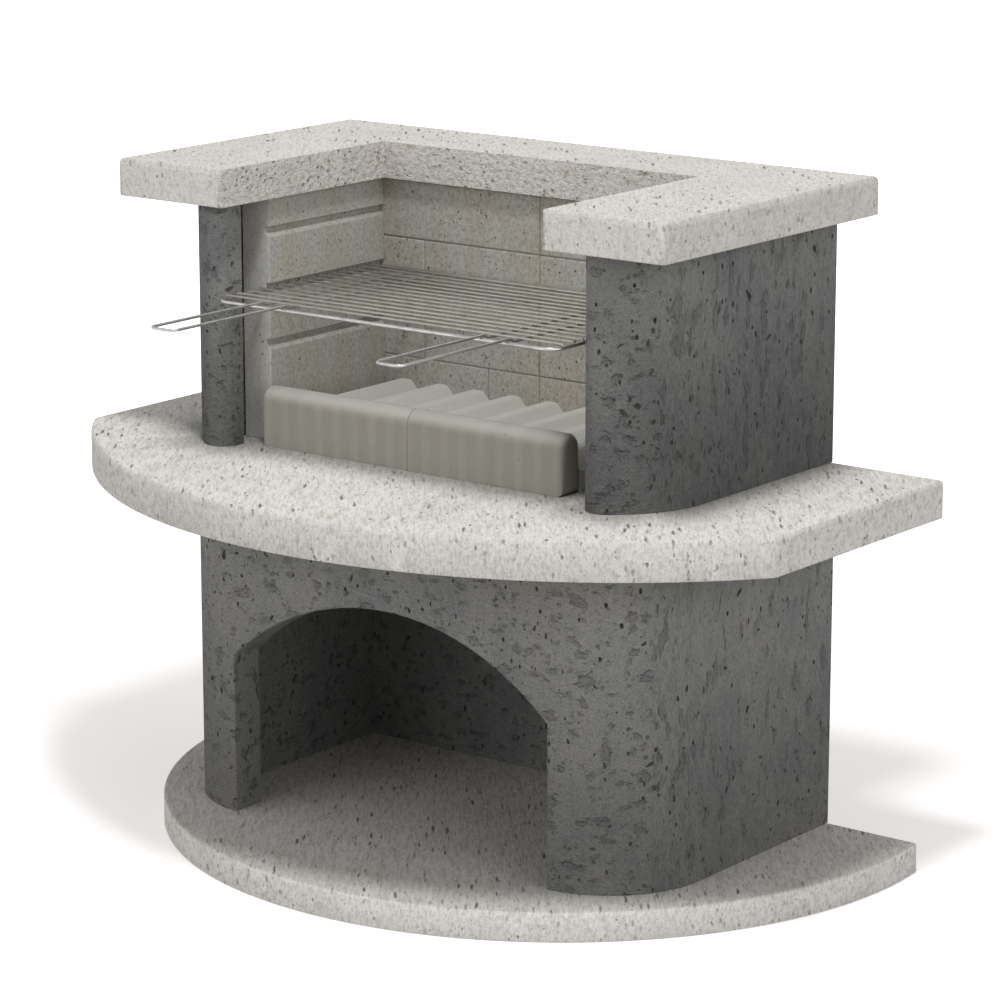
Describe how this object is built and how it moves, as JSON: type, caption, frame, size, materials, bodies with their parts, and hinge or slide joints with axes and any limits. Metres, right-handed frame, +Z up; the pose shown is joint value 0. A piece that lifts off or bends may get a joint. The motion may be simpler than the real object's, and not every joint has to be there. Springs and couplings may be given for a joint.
{
  "type": "outdoor masonry barbecue",
  "caption": "Free-standing concrete barbecue with an arched wood store, a bowed table plate, a firebrick hearth under a U-shaped cap, and a chromed wire grate that slides in wall grooves.",
  "frame": {"origin": "on the ground, in the middle of the bounding box of the footprint", "axes": "+X to the right as seen from the front, +Y from the open front to the back, +Z up"},
  "size_m": [1.13, 0.692, 0.915],
  "materials": {
    "pale_concrete": "cast, rough, with small dark pits",
    "dark_concrete": "smooth cast, anthracite, with air pits",
    "firebrick": "matt, pitted",
    "fired_clay": "matt, finely grained",
    "chromed_wire": "bright"
  },
  "bodies": {
    "masonry": {"base_plate": "pale_concrete", "table_plate": "pale_concrete", "cap_plate": "pale_concrete", "arch_front": "dark_concrete", "lower_left_wall": "dark_concrete", "lower_right_wall": "dark_concrete", "lower_back_wall": "dark_concrete", "left_cheek": "dark_concrete", "right_cheek": "dark_concrete", "upper_back_wall": "dark_concrete", "left_lining": "firebrick", "right_lining": "firebrick", "back_brick_low_1": "firebrick", "back_brick_low_2": "firebrick", "back_brick_low_3": "firebrick", "back_brick_middle_1": "firebrick", "back_brick_middle_2": "firebrick", "back_brick_middle_3": "firebrick", "back_brick_high_1": "firebrick", "back_brick_high_2": "firebrick", "ember_bar_left": "fired_clay", "ember_bar_right": "fired_clay", "fire_bed_left": "fired_clay", "fire_bed_right": "fired_clay"},
    "grate": {"grate_ring": "chromed_wire", "grate_handle_left": "chromed_wire", "grate_handle_right": "chromed_wire", "grate_rod_01": "chromed_wire", "grate_rod_02": "chromed_wire", "grate_rod_03": "chromed_wire", "grate_rod_04": "chromed_wire", "grate_rod_05": "chromed_wire", "grate_rod_06": "chromed_wire", "grate_rod_07": "chromed_wire", "grate_rod_08": "chromed_wire", "grate_rod_09": "chromed_wire", "grate_rod_10": "chromed_wire", "grate_rod_11": "chromed_wire", "grate_rod_12": "chromed_wire", "grate_rod_13": "chromed_wire", "grate_rod_14": "chromed_wire", "grate_rod_15": "chromed_wire"}
  },
  "joints": [
    {"name": "grate_slide", "type": "slide", "parent": "masonry", "child": "grate", "axis": [0, -1, 0], "range_m": [-0.0065, 0.56]}
  ]
}
